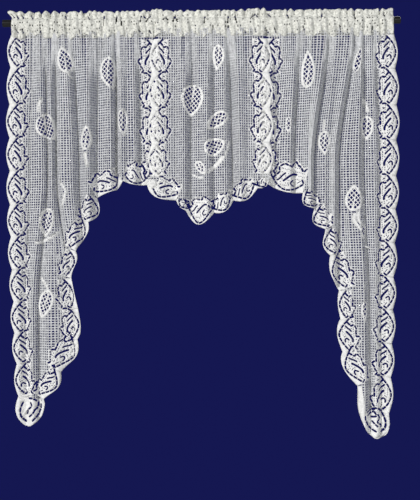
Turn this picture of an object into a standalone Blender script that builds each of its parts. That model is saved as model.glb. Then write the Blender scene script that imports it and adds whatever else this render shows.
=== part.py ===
"""A lace swag pair with tails and a centre insert, gathered on a plain black rod.

Three cut cloths share the rod: a left swag that falls into a long tail, a right swag with its own tail,
and a short pointed insert that hangs in front of them. Each cloth is one sheet. Its top edge is turned
over to the back, which makes the standing header and the rod pocket, and its lower edges are scalloped.

Lengths are in millimetres and become metres when a mesh is made. X runs along the rod from its left end,
Z is up, and the room is on the -Y side. "depth" is how far the cloth stands out towards the room.
"""

import math

import bmesh
import bpy

MM = 0.001

# Rod
ROD_LENGTH = 895.0
ROD_RADIUS = 8.0
ROD_SIDES = 32
ROD_EDGE_ROUND = 1.5

# Cloth
THICKNESS = 1.2
WRAP_RADIUS = 9.4        # of the cloth's mid-surface where it passes round the rod
LAYER_GAP = 1.5          # each layer of the header stands this far from its middle plane
HEADER_SEAM_Z = 13.0     # stitch line above the rod
HEADER_TOP_Z = 23.5
HEADER_TURN = 1.2        # half-width of the turn along the header's top
HEADER_RIPPLE = 2.5      # the header's top edge rises and falls by this much
POCKET_SEAM_Z = -36.0    # stitch line below the rod
POCKET_EDGE_Z = -34.0    # free edge of the turned-over layer
HEADING_GATHER = 2.6     # half-depth of the gathers at the header and the pocket

# Levels between which the folds run, and the length over which they open out under the pocket
DROP_Z = -330.0
TAIL_Z = -650.0
FOLDS_OPEN_Z = -150.0
COLUMNS_PER_FOLD = 3
ROW_STEP = 116.0

# A heading sits on the rod between these two ends.
LEFT_HEADING = (22.0, 342.6)
INSERT_HEADING = (343.4, 592.0)
RIGHT_HEADING = (592.8, 878.0)

# Folds, a row for each ridge or valley: where it is at the rod, at the foot of the swag and in the
# tail, and its depth from the cloth's middle plane.
#            x_rod  x_drop x_tail  depth
LEFT_FOLDS = [
    (-2.0, -4.0, 0.0, -2.0),
    (33.0, 28.0, 30.0, 3.0),
    (68.0, 57.0, 45.0, -8.0),
    (84.0, 86.0, 62.0, 4.0),
    (95.0, 97.0, 74.0, -8.0),
    (106.0, 108.0, 104.0, 5.0),
    (118.0, 116.0, 150.0, -11.0),
    (130.0, 130.0, 160.0, 8.0),
    (143.0, 150.0, 170.0, 9.0),
    (157.0, 168.0, 180.0, -10.0),
    (190.0, 189.0, 196.0, 11.0),
    (214.0, 208.0, 213.0, -11.0),
    (241.0, 242.0, 243.0, 11.0),
    (254.0, 252.0, 252.0, -13.0),
    (267.0, 265.0, 265.0, 13.0),
    (280.0, 280.0, 280.0, 2.0),
    (292.0, 294.0, 294.0, 8.0),
    (306.0, 307.0, 307.0, -7.0),
    (331.0, 331.0, 331.0, -6.0),
    (366.0, 366.0, 366.0, -5.0),
]
INSERT_FOLDS = [
    (312.0, 310.0, 310.0, 7.0),
    (352.0, 350.0, 350.0, 8.0),
    (389.0, 386.0, 386.0, -6.0),
    (406.0, 402.0, 402.0, 8.0),
    (427.0, 420.0, 420.0, -10.0),
    (440.0, 436.0, 436.0, 1.0),
    (461.0, 456.0, 456.0, 12.0),
    (474.0, 471.0, 471.0, -6.0),
    (497.0, 496.0, 496.0, 9.0),
    (508.0, 514.0, 514.0, -10.0),
    (527.0, 530.0, 530.0, 19.0),
    (550.0, 550.0, 550.0, 6.0),
    (572.0, 570.0, 570.0, 6.0),
    (620.0, 618.0, 618.0, 9.0),
]
RIGHT_FOLDS = [
    (556.0, 548.0, 548.0, -5.0),
    (588.0, 572.0, 572.0, -7.0),
    (628.0, 604.0, 602.0, -9.0),
    (657.0, 643.0, 639.0, 8.0),
    (669.0, 653.0, 650.0, -9.0),
    (680.0, 668.0, 666.0, -3.0),
    (700.0, 684.0, 681.0, 10.0),
    (724.0, 689.0, 687.0, 9.0),
    (737.0, 698.0, 694.0, -12.0),
    (750.0, 722.0, 716.0, 9.0),
    (763.0, 732.0, 727.0, 2.0),
    (782.0, 742.0, 738.0, 8.0),
    (794.0, 754.0, 750.0, -11.0),
    (798.0, 770.0, 784.0, -4.0),
    (805.0, 796.0, 806.0, 12.0),
    (812.0, 809.0, 820.0, -7.0),
    (828.0, 832.0, 834.0, 4.0),
    (840.0, 847.0, 846.0, -8.0),
    (868.0, 866.0, 860.0, 5.0),
    (900.0, 898.0, 886.0, -2.0),
]

# Middle plane of a cloth: its depth at the pocket seam, at the foot of the swag and in the tail.
SWAG_PLANE = (4.0, 2.0, 0.0)
INSERT_PLANE = (9.0, 8.0, 8.0)

# Straight edges that hang from the heading: where each scallop ends, from the top down.
#                   x     z
LEFT_OUTER_EDGE = [
    (20, -27),
    (18, -100),
    (15, -183),
    (14, -258),
    (14, -332),
    (14, -408),
    (15, -480),
    (17, -554),
    (20, -626),
    (21, -696),
    (26, -766),
    (29, -838),
]
RIGHT_OUTER_EDGE = [
    (879, -32),
    (881, -110),
    (883, -191),
    (882, -270),
    (881, -350),
    (879, -426),
    (877, -501),
    (873, -578),
    (871, -651),
    (868, -727),
    (865, -803),
    (860, -884),
]
LEFT_INNER_EDGE = [(345, -40), (347, -117), (348, -196), (348, -275), (349, -346)]
RIGHT_INNER_EDGE = [(590, -40), (585, -119), (583, -197), (581, -275), (579, -345)]
INSERT_LEFT_EDGE = [(341, -40), (336, -117), (335, -196), (334, -275), (334, -346)]
INSERT_RIGHT_EDGE = [(594, -40), (597, -119), (598, -197), (597, -275), (596, -345)]
OUTER_BULGE = 8.0
BAND_BULGE = 8.0
ARC_STEPS = 4

# Lower edges, a row for each scallop, from its last notch: where it ends, how far it bulges out of the
# straight line between its notches, and how far along that line the bulge is widest.
#            x      z   bulge  peak
LEFT_LOWER_EDGE = [
    (41, -905, 13, 0.50),
    (53, -907, 1, 0.50),
    (87, -856, 9, 0.50),
    (84, -846, 0, 0.50),
    (124, -785, 14, 0.60),
    (163, -711, 15, 0.62),
    (148, -574, 11, 0.28),
    (161, -513, 7, 0.70),
    (190, -448, 8, 0.70),
    (208, -394, 15, 0.45),
    (268, -357, 8, 0.70),
    (322, -366, 4, 0.50),
    (349, -375, 3, 0.50),
]
INSERT_LOWER_EDGE = [
    (323, -367, 5, 0.50),
    (387, -401, 15, 0.40),
    (409, -425, 4, 0.50),
    (472, -430, 29, 0.48),
    (516, -402, 11, 0.45),
    (570, -376, 13, 0.42),
    (595, -362, 6, 0.50),
]
RIGHT_LOWER_EDGE = [
    (594, -366, 3, 0.50),
    (621, -373, 2, 0.50),
    (672, -387, 6, 0.60),
    (699, -422, 14, 0.48),
    (721, -469, 16, 0.50),
    (732, -528, 12, 0.58),
    (753, -608, 10, 0.45),
    (755, -672, 4, 0.42),
    (759, -746, 9, 0.43),
    (791, -822, 13, 0.40),
    (798, -897, 4, 0.60),
    (829, -941, 5, 0.55),
    (862, -907, 12, 0.45),
    (860, -884, 0, 0.50),
]

CUTTER_TOP_Z = 60.0
CUTTER_DEPTH = 80.0
HEADER_FLARE = 10.0      # the left swag's header leans out over the rod's end by this much

# Colours and finish
LACE_COLOUR = (0.90, 0.90, 0.86, 1.0)
ROD_COLOUR = (0.012, 0.012, 0.014, 1.0)


def clear_scene():
    for old in list(bpy.data.objects):
        bpy.data.objects.remove(old, do_unlink=True)


def new_collection(name):
    collection = bpy.data.collections.new(name)
    bpy.context.scene.collection.children.link(collection)
    return collection


def new_material(name, colour, roughness, metallic):
    material = bpy.data.materials.new(name)
    material.use_nodes = True
    shader = material.node_tree.nodes["Principled BSDF"]
    shader.inputs["Base Color"].default_value = colour
    shader.inputs["Roughness"].default_value = roughness
    shader.inputs["Metallic"].default_value = metallic
    return material


def new_object(name, mesh, collection, material):
    mesh.materials.append(material)
    piece = bpy.data.objects.new(name, mesh)
    collection.objects.link(piece)
    return piece


def ease(t):
    """0 to 1 with a soft start and a soft end."""
    t = min(max(t, 0.0), 1.0)
    return t * t * (3.0 - 2.0 * t)


def along_levels(values, z):
    """A value that changes between the rod, the foot of the swag and the tail."""
    at_rod, at_drop, at_tail = values
    to_drop = ease(z / DROP_Z)
    to_tail = ease((z - DROP_Z) / (TAIL_Z - DROP_Z))
    return at_rod + (at_drop - at_rod) * to_drop + (at_tail - at_drop) * to_tail


def between_folds(folds, s):
    """The two fold rows that s lies between, and how far along it is."""
    first = min(int(s), len(folds) - 2)
    return folds[first], folds[first + 1], s - first


def fold_x(folds, s, z):
    near, far, part = between_folds(folds, s)
    x_near = along_levels(near[:3], z)
    x_far = along_levels(far[:3], z)
    return x_near + (x_far - x_near) * part


def fold_wave(folds, s):
    """Depth of the open folds from the cloth's middle plane."""
    near, far, part = between_folds(folds, s)
    return near[3] + (far[3] - near[3]) * (0.5 - 0.5 * math.cos(math.pi * part))


def gather_wave(folds, s):
    """-1 to 1, with the sign of the fold that each gather opens into."""
    near, far, part = between_folds(folds, s)
    start = math.copysign(1.0, near[3])
    end = math.copysign(1.0, far[3])
    return start + (end - start) * (0.5 - 0.5 * math.cos(math.pi * part))


def hanging_depth(folds, plane, s, z):
    """Depth of the single layer that hangs under the pocket seam."""
    opened = ease((z - POCKET_SEAM_Z) / (FOLDS_OPEN_Z - POCKET_SEAM_Z))
    gathered = HEADING_GATHER * gather_wave(folds, s)
    return along_levels(plane, z) + gathered + (fold_wave(folds, s) - gathered) * opened


def heading_profile(folds, plane, s):
    """(depth, z) up the front of the pocket, over the header and down the back to the free edge."""
    wave = gather_wave(folds, s)
    shift = HEADING_GATHER * wave
    front_wrap = WRAP_RADIUS + HEADING_GATHER * (1.0 + wave) * 0.5
    back_wrap = WRAP_RADIUS + HEADING_GATHER * (1.0 - wave) * 0.5
    ripple = HEADER_RIPPLE * wave
    profile = []
    for degrees in (0.0, 32.0):
        angle = math.radians(degrees)
        profile.append((front_wrap * math.cos(angle), WRAP_RADIUS * math.sin(angle)))
    profile.append((shift + LAYER_GAP, HEADER_SEAM_Z))
    profile.append((shift + HEADER_TURN, HEADER_TOP_Z + ripple))
    profile.append((shift - HEADER_TURN, HEADER_TOP_Z + ripple))
    profile.append((shift - LAYER_GAP, HEADER_SEAM_Z))
    for degrees in (148.0, 180.0, 212.0):
        angle = math.radians(degrees)
        profile.append((back_wrap * math.cos(angle), WRAP_RADIUS * math.sin(angle)))
    profile.append((plane[0] + shift - 2.0 * LAYER_GAP, POCKET_EDGE_Z))
    return profile


def row_levels(lowest):
    """Heights of the grid's rows from the foot of the cloth up to the pocket seam."""
    count = math.ceil((POCKET_SEAM_Z - lowest) / ROW_STEP)
    step = (POCKET_SEAM_Z - lowest) / count
    return [lowest + step * row for row in range(count + 1)]


def folded_sheet(name, folds, plane, lowest):
    """The cloth's mid-surface: a grid whose columns follow the folds."""
    levels = row_levels(lowest)
    heading_rows = len(heading_profile(folds, plane, 0.0))
    columns = (len(folds) - 1) * COLUMNS_PER_FOLD
    rows = len(levels) + heading_rows - 1
    bm = bmesh.new()
    bmesh.ops.create_grid(bm, x_segments=columns, y_segments=rows, size=1.0)
    for vertex in bm.verts:
        s = round((vertex.co.x + 1.0) * 0.5 * columns) / COLUMNS_PER_FOLD
        row = round((vertex.co.y + 1.0) * 0.5 * rows)
        if row < len(levels):
            z = levels[row]
            depth = hanging_depth(folds, plane, s, z)
        else:
            depth, z = heading_profile(folds, plane, s)[row - len(levels)]
        vertex.co = (fold_x(folds, s, min(z, 0.0)) * MM, -depth * MM, z * MM)
    mesh = bpy.data.meshes.new(name)
    bm.to_mesh(mesh)
    bm.free()
    return mesh


def scallop(start, end, bulge, peak, side):
    """Points after start along a lobe that swells out of the line from start to end."""
    run_x = end[0] - start[0]
    run_z = end[1] - start[1]
    length = math.hypot(run_x, run_z)
    skew = math.log(0.5) / math.log(peak)
    points = []
    for step in range(1, ARC_STEPS + 1):
        t = step / ARC_STEPS
        out = side * bulge * math.sin(math.pi * t ** skew)
        points.append((
            start[0] + run_x * t + out * run_z / length,
            start[1] + run_z * t - out * run_x / length,
        ))
    return points


def hanging_edge(notches, bulge, side):
    """Scallops down a straight edge, from the top."""
    points = [notches[0]]
    for notch in notches[1:]:
        points += scallop(points[-1], notch, bulge, 0.5, side)
    return points


def lower_edge(start, rows, side):
    points = []
    for x, z, bulge, peak in rows:
        last = points[-1] if points else start
        points += scallop(last, (x, z), bulge, peak, side)
    return points


def left_outline():
    top = [(LEFT_HEADING[0] - HEADER_FLARE, CUTTER_TOP_Z), (LEFT_HEADING[0] - HEADER_FLARE, HEADER_TOP_Z)]
    waist = [(LEFT_HEADING[0], HEADER_SEAM_Z), (LEFT_HEADING[0], -10.0)]
    outer = hanging_edge(LEFT_OUTER_EDGE, OUTER_BULGE, 1.0)
    lower = lower_edge(outer[-1], LEFT_LOWER_EDGE, 1.0)
    inner = hanging_edge(LEFT_INNER_EDGE, BAND_BULGE, -1.0)
    right_top = [(LEFT_HEADING[1], POCKET_SEAM_Z), (LEFT_HEADING[1], CUTTER_TOP_Z)]
    return top + waist + outer + lower + inner[::-1] + right_top


def insert_outline():
    top = [(INSERT_HEADING[0], CUTTER_TOP_Z), (INSERT_HEADING[0], POCKET_SEAM_Z)]
    left = hanging_edge(INSERT_LEFT_EDGE, BAND_BULGE, 1.0)
    lower = lower_edge(left[-1], INSERT_LOWER_EDGE, 1.0)
    right = hanging_edge(INSERT_RIGHT_EDGE, BAND_BULGE, -1.0)
    right_top = [(INSERT_HEADING[1], POCKET_SEAM_Z), (INSERT_HEADING[1], CUTTER_TOP_Z)]
    return top + left + lower + right[::-1] + right_top


def right_outline():
    top = [(RIGHT_HEADING[0], CUTTER_TOP_Z), (RIGHT_HEADING[0], POCKET_SEAM_Z)]
    inner = hanging_edge(RIGHT_INNER_EDGE, BAND_BULGE, 1.0)
    lower = lower_edge(inner[-1], RIGHT_LOWER_EDGE, 1.0)
    outer = hanging_edge(RIGHT_OUTER_EDGE, OUTER_BULGE, -1.0)
    right_top = [(RIGHT_HEADING[1], -10.0), (RIGHT_HEADING[1], CUTTER_TOP_Z)]
    return top + inner + lower + outer[-2::-1] + right_top


def outline_cutter(name, outline, collection):
    """A flat outline in the plane of the rod, made deep enough to trim both layers of the heading."""
    curve = bpy.data.curves.new(name, "CURVE")
    curve.dimensions = "2D"
    curve.fill_mode = "BOTH"
    curve.extrude = CUTTER_DEPTH * MM
    spline = curve.splines.new("POLY")
    spline.points.add(len(outline) - 1)
    for point, (x, z) in zip(spline.points, outline):
        point.co = (x * MM, z * MM, 0.0, 1.0)
    spline.use_cyclic_u = True
    flat = bpy.data.objects.new(name + "_curve", curve)
    flat.rotation_euler = (math.radians(90.0), 0.0, 0.0)
    collection.objects.link(flat)
    bpy.context.view_layer.update()
    graph = bpy.context.evaluated_depsgraph_get()
    mesh = bpy.data.meshes.new_from_object(flat.evaluated_get(graph))
    bm = bmesh.new()
    bm.from_mesh(mesh)
    bmesh.ops.remove_doubles(bm, verts=bm.verts, dist=0.00001)
    bmesh.ops.recalc_face_normals(bm, faces=bm.faces)
    bm.to_mesh(mesh)
    bm.free()
    cutter = bpy.data.objects.new(name, mesh)
    cutter.matrix_world = flat.matrix_world
    bpy.data.objects.remove(flat, do_unlink=True)
    cutter.hide_render = True
    cutter.display_type = "WIRE"
    collection.objects.link(cutter)
    return cutter


def hung_cloth(name, folds, plane, outline, parts, cutters, material):
    """One cloth: a folded sheet with thickness, trimmed to its scalloped outline."""
    lowest = min(z for x, z in outline) - 10.0
    piece = new_object(name, folded_sheet(name, folds, plane, lowest), parts, material)
    solid = piece.modifiers.new("thickness", "SOLIDIFY")
    solid.thickness = THICKNESS * MM
    solid.offset = 0.0
    trim = piece.modifiers.new("outline", "BOOLEAN")
    trim.operation = "INTERSECT"
    trim.solver = "EXACT"
    trim.object = outline_cutter(name + "_outline", outline, cutters)
    return piece


def plain_rod(parts, material):
    """A straight round rod with softened end edges and flat end faces."""
    bpy.ops.mesh.primitive_cylinder_add(vertices=ROD_SIDES, radius=ROD_RADIUS * MM, depth=ROD_LENGTH * MM)
    rod = bpy.context.object
    rod.name = "rod"
    rod.data.materials.append(material)
    rod.rotation_euler = (0.0, math.radians(90.0), 0.0)
    rod.location = (ROD_LENGTH * 0.5 * MM, 0.0, 0.0)
    bevel = rod.modifiers.new("rounded_ends", "BEVEL")
    bevel.width = ROD_EDGE_ROUND * MM
    bevel.segments = 2
    bevel.limit_method = "ANGLE"
    bevel.angle_limit = math.radians(60.0)
    rod.data.shade_smooth()
    rod.data.set_sharp_from_angle(angle=math.radians(40.0))
    for owner in list(rod.users_collection):
        owner.objects.unlink(rod)
    parts.objects.link(rod)
    return rod


def main():
    clear_scene()
    parts = new_collection("swag_and_tail_drape")
    cutters = new_collection("cutters")
    lace = new_material("lace", LACE_COLOUR, 0.85, 0.0)
    black_paint = new_material("black_paint", ROD_COLOUR, 0.35, 0.0)
    plain_rod(parts, black_paint)
    hung_cloth("left_swag", LEFT_FOLDS, SWAG_PLANE, left_outline(), parts, cutters, lace)
    hung_cloth("right_swag", RIGHT_FOLDS, SWAG_PLANE, right_outline(), parts, cutters, lace)
    hung_cloth("centre_insert", INSERT_FOLDS, INSERT_PLANE, insert_outline(), parts, cutters, lace)


main()
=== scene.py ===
"""Looks of the lace swag pair with tails and a centre insert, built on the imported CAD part.

Each cloth is made of real yarn and real holes: a square net of thin threads, a scalloped border and leaf
motifs that are cut as solid work, and a dense gathered heading. They all lie on the same folds as the CAD.

Lengths are in millimetres until a mesh is made. X runs along the rod, Z is up, and "depth" is how far the
cloth stands out towards the room, which is on the -Y side.
"""

import math
from collections import namedtuple

import bpy
import numpy as np
from mathutils import Matrix, Vector
from mathutils.geometry import delaunay_2d_cdt


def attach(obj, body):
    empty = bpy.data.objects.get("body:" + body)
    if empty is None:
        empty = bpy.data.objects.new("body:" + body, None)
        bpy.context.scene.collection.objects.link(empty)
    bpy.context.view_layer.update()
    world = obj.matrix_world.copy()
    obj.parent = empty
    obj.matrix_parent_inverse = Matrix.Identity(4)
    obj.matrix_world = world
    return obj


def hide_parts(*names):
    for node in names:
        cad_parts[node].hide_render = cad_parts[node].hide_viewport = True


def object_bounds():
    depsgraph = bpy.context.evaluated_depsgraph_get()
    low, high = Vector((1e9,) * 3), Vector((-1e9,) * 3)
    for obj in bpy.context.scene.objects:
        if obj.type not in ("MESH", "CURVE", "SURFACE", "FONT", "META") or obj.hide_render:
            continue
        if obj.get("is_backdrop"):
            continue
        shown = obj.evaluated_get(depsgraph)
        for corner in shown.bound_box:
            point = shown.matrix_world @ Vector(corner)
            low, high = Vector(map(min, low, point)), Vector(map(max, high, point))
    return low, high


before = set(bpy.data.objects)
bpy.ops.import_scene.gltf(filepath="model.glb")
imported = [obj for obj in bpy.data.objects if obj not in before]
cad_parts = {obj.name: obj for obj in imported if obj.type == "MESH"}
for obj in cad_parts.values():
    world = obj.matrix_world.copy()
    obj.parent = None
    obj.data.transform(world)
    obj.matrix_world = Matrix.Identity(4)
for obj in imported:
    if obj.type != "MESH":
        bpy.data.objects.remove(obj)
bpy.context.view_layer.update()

MM = 0.001
RANDOM = np.random.default_rng(7)

# Shape of the cloths: the CAD's, with deeper gathers in the heading
WRAP_RADIUS = 9.4  # of the cloth's mid-surface where it passes round the rod
LAYER_GAP = 1.5  # each layer of the header stands this far from its middle plane
HEADER_SEAM_Z = 13.0  # stitch line above the rod
HEADER_SHOULDER_Z = 20.5  # where the header starts to turn over
HEADER_TOP_Z = 23.5
HEADER_RIPPLE = 4.2  # the header's top edge rises and falls by this much
POCKET_SEAM_Z = -36.0  # stitch line below the rod
POCKET_EDGE_Z = -34.0  # free edge of the turned-over layer
HEADING_GATHER = 6.2  # half-depth of the gathers at the header and the pocket
DROP_Z = -330.0  # foot of the swags
TAIL_Z = -650.0
FOLDS_OPEN_Z = -150.0  # down to here the folds open out
EDGE_BULGE = 8.0  # of the scallops of the straight edges

# Width and length of each cloth laid flat, in metres, with the area that it is cut to
FLAT_SIZES = {
    "left_swag": (0.52, 0.99, 0.270),
    "right_swag": (0.45, 1.03, 0.248),
    "centre_insert": (0.38, 0.55, 0.153),
}

# Square net
PILLAR_PITCH = 6.1  # from one upright thread to the next, along the cloth
BAR_PITCH = 5.7
PILLAR_WIDTH = 3.3
BAR_WIDTH = 2.9
NET_THICKNESS = 1.4
NET_LEVELS = (-90.0, -160.0, -250.0, -330.0, -500.0)  # heights over which the pillars are spaced
NET_TOP_Z = -18.0
NET_INSET = 6.0  # inside the heading's ends
NET_WANDER = 0.16  # of each crossing from its place
WIDE_GAP = 1.4  # pitches between two pillars that leave room for one more

# Border, motifs and heading
WORK_THICKNESS = 1.5  # of the border and the motifs at their middle
WORK_EDGE = 0.7
WORK_SPACING = 6.0  # of the mesh points inside the border and the motifs
HEADING_THICKNESS = 0.9
HEADING_CELL = 5.6  # one hole of the heading's dense net, along the rod
HEADING_ROWS = 18
HEADING_LINES = [0.0, 0.28, 0.72]  # mesh lines in each cell, round its hole
HEADING_OPEN = 0.22  # share of the cells with a hole

# Waves finer than the folds
GATHER_PITCH = 13.7  # of the small gathers that the heading makes
GATHER_FADE_Z = -120.0
CREASE_DEPTH = 5.0  # how sharply the back of a fold is drawn in
CREASE_WIDTH = 2.8
CREASE_LEAST = -5.5  # folds that lie further back than this get a crease

# Each cloth's folds: x at the rod, at the foot of the swag and in the tail, then the depth
LEFT_FOLDS = [
    (-2, -4, 0, -2), (33, 28, 30, 3), (68, 57, 45, -8), (84, 86, 62, 4), (95, 97, 74, -8),
    (106, 108, 104, 5), (118, 116, 150, -11), (130, 130, 160, 8), (143, 150, 170, 9),
    (157, 168, 180, -10), (190, 189, 196, 11), (214, 208, 213, -11), (241, 242, 243, 11),
    (254, 252, 252, -13), (267, 265, 265, 13), (280, 280, 280, 2), (292, 294, 294, 8),
    (306, 307, 307, -7), (331, 331, 331, -6), (366, 366, 366, -5),
]
INSERT_FOLDS = [
    (312, 310, 310, 7), (352, 350, 350, 8), (389, 386, 386, -6), (406, 402, 402, 8),
    (427, 420, 420, -10), (440, 436, 436, 1), (461, 456, 456, 12), (474, 471, 471, -6),
    (497, 496, 496, 9), (508, 514, 514, -10), (527, 530, 530, 19), (550, 550, 550, 6),
    (572, 570, 570, 6), (620, 618, 618, 9),
]
RIGHT_FOLDS = [
    (556, 548, 548, -5), (588, 572, 572, -7), (628, 604, 602, -9), (657, 643, 639, 8),
    (669, 653, 650, -9), (680, 668, 666, -3), (700, 684, 681, 10), (724, 689, 687, 9),
    (737, 698, 694, -12), (750, 722, 716, 9), (763, 732, 727, 2), (782, 742, 738, 8),
    (794, 754, 750, -11), (798, 770, 784, -4), (805, 796, 806, 12), (812, 809, 820, -7),
    (828, 832, 834, 4), (840, 847, 846, -8), (868, 866, 860, 5), (900, 898, 886, -2),
]

# Where the gathers of the heading are pinched together
LEFT_PINCHES = [
    20, 38, 52, 72, 87, 108, 129, 144, 173, 181, 225, 253, 265, 276, 291, 309, 325, 332, 346,
]
INSERT_PINCHES = [340, 362, 386, 392, 406, 428, 457, 474, 491, 509, 524, 545, 566, 580, 594]
RIGHT_PINCHES = [590, 603, 625, 640, 657, 678, 700, 720, 738, 761, 776, 792, 812, 832, 848, 864, 880]

# Top of each outline: the points before its left edge's scallops and after its right edge's
LEFT_TOP = ([(22, -10)], [(342.6, -20), (342.6, -10)])
INSERT_TOP = ([(343.4, -10), (343.4, -20)], [(592, -20), (592, -10)])
RIGHT_TOP = ([(592.8, -10), (592.8, -20)], [(878, -10)])

# Where the scallops of the straight edges end, from the top down
LEFT_OUTER_EDGE = [
    (20, -27), (18, -100), (15, -183), (14, -258), (14, -332), (14, -408), (15, -480), (17, -554),
    (20, -626), (21, -696), (26, -766), (29, -838),
]
RIGHT_OUTER_EDGE = [
    (879, -32), (881, -110), (883, -191), (882, -270), (881, -350), (879, -426), (877, -501),
    (873, -578), (871, -651), (868, -727), (865, -803), (860, -884),
]
LEFT_INNER_EDGE = [(345, -40), (347, -117), (348, -196), (348, -275), (349, -346)]
RIGHT_INNER_EDGE = [(590, -40), (585, -119), (583, -197), (581, -275), (579, -345)]
INSERT_LEFT_EDGE = [(341, -40), (336, -117), (335, -196), (334, -275), (334, -346)]
INSERT_RIGHT_EDGE = [(594, -40), (597, -119), (598, -197), (597, -275), (596, -345)]

# Scallops of the lower edges: x, z, bulge and peak as in the CAD, then how deep the border's pattern
# reaches into the cloth. 0 is a scallop with no pattern of its own, and -1 one with only a narrow rim.
LEFT_LOWER_EDGE = [
    (41, -905, 13, 0.50, 0), (53, -907, 1, 0.50, 0), (87, -856, 9, 0.50, 0), (84, -846, 0, 0.50, 0),
    (124, -785, 14, 0.60, 0.85), (163, -711, 15, 0.62, 1), (148, -574, 11, 0.28, 1),
    (161, -513, 7, 0.70, 1), (190, -448, 8, 0.70, 1), (208, -394, 15, 0.45, 1), (268, -357, 8, 0.70, 1.25),
    (322, -366, 4, 0.50, 1.6), (349, -375, 3, 0.50, 0),
]
INSERT_LOWER_EDGE = [
    (323, -367, 5, 0.50, 1), (387, -401, 15, 0.40, 1), (409, -425, 4, 0.50, 0.9), (472, -430, 29, 0.48, 1),
    (516, -402, 11, 0.45, 1), (570, -376, 13, 0.42, 1), (595, -362, 6, 0.50, 1),
]
RIGHT_LOWER_EDGE = [
    (594, -366, 3, 0.50, 0), (672, -387, 8, 0.50, 1.5), (699, -422, 14, 0.48, 1),
    (721, -469, 16, 0.50, 1), (732, -528, 12, 0.58, 1), (753, -608, 10, 0.45, 1), (755, -672, 4, 0.42, 1),
    (759, -746, 9, 0.43, 1), (791, -822, 13, 0.40, 0.9), (798, -897, 4, 0.60, -1),
    (829, -941, 5, 0.55, 0), (862, -907, 12, 0.45, 0), (860, -884, 0, 0.50, 0),
]

# One unit of the border, from notch to notch: t runs from the upper notch (0) to the lower one (1), and n
# is how far in it lies from the line between them, for a unit of UNIT_LENGTH with lobes of UNIT_BULGE.
UNIT_LENGTH = 70.6
UNIT_BULGE = 5.5
UNIT_SIZES = (0.5, 1.1)  # smallest and largest size that a unit is drawn at
LONG_SCALLOP = 105.0  # a longer scallop holds two units
PATTERN_DEPTH = 30.0  # from the rim to the pattern's inner edge
FOLLOW_DEPTH = 32.0  # how far in the pattern follows the lobe of its scallop
RIM_DEPTH = 8.0  # of a scallop with only a rim
UNIT_INNER_EDGE = [
    (-0.03, 31.0), (0.06, 30.0), (0.13, 30.2), (0.20, 31.4), (0.30, 35.6), (0.40, 34.8), (0.47, 34.8),
    (0.50, 38.0), (0.55, 39.6), (0.62, 42.8), (0.70, 38.8), (0.79, 36.4), (0.855, 32.6), (0.90, 35.0),
    (0.955, 36.3), (0.985, 31.0),
]
RIM_SLIT = [
    (0.073, 14.1), (0.175, 8.5), (0.289, 3.5), (0.417, -0.5), (0.531, -1.3), (0.652, 1.0), (0.78, 5.5),
    (0.886, 10.5), (0.946, 14.8), (0.88, 19.5),
]
NET_SLIT = [
    (0.09, 13.4), (0.161, 18.1), (0.225, 22.6), (0.196, 27.4), (0.31, 32.1), (0.395, 31.4), (0.488, 31.1),
    (0.552, 31.5), (0.545, 35.1), (0.619, 38.9), (0.676, 35.2), (0.78, 32.8), (0.872, 28.4), (0.95, 32.8),
]
UPPER_SLIT = [(0.09, 13.1), (0.011, 17.6), (-0.036, 22.6), (-0.041, 28.6)]
OUTLINE_SLITS = [(4.1, 4, RIM_SLIT), (4.305, 4, UPPER_SLIT), (4.51, 3, NET_SLIT)]  # width, steps, line
BOLD_SLITS = [
    (3.45, [(0.203, 10.5), (0.275, 14.6), (0.331, 19.1), (0.403, 22.8)]),
    (4.35, [(0.374, 11.5), (0.459, 16.6), (0.552, 21.1), (0.637, 23.8), (0.73, 23.6)]),
    (3.0, [(0.559, 6.5), (0.514, 11.3)]),
    (3.3, [(0.723, 9.0), (0.644, 8.8), (0.598, 12.0), (0.659, 17.1)]),
    (3.6, [(0.78, 13.6), (0.858, 17.4)]),
]
EYE_HOLE = (0.09, 24.6)
EYE_RADIUS = 1.6
DASH = 10.0  # longest piece of a slit between two of the threads that bridge it
TIP_DASH = 12.0
DASH_GAP = 0.7
DASH_TAPER = 0.8
GROUND_PITCH = 4.1  # of the small holes between the slits
GROUND_ROWS = 9
GROUND_START = 2.0  # from the rim slit to the first of them
GROUND_SPAN = (0.02, 0.97)
GROUND_HOLE = 1.35
GROUND_CLEAR = 3.8  # from their middle to any slit or edge

# The pointed ends of the tails: the solid shape and the slits in it, each with its width
TIPS = {
    "left_swag": (
        [(20, -842), (90, -846), (95, -870), (60, -915), (30, -915), (18, -870)],
        [
            (4.6, [(39, -851), (33, -867), (34, -883), (45, -897)]),
            (4.6, [(59, -895), (70, -883), (77, -868), (78, -856)]),
            (4.6, [(50, -844), (61, -844), (72, -852), (70, -864), (63, -871)]),
            (4.4, [(55, -852), (58, -861), (50, -869), (47, -880)]),
            (4.4, [(51, -886), (61, -877), (66, -869)]),
        ],
    ),
    "right_swag": (
        [
            (800, -888), (812, -876), (832, -866), (862, -884), (875, -905), (840, -945), (820, -945),
            (795, -905),
        ],
        [
            (4.6, [(807, -888), (809, -901), (819, -917), (833, -926)]),
            (4.6, [(811, -882), (831, -872), (845, -881), (853, -901), (852, -917), (843, -928)]),
            (4.4, [(813, -890), (821, -883), (828, -881), (832, -890), (821, -893)]),
            (4.4, [(835, -885), (840, -895), (835, -904), (844, -911), (842, -917)]),
            (4.2, [(823, -901), (830, -909), (837, -915)]),
        ],
    ),
}

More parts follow.
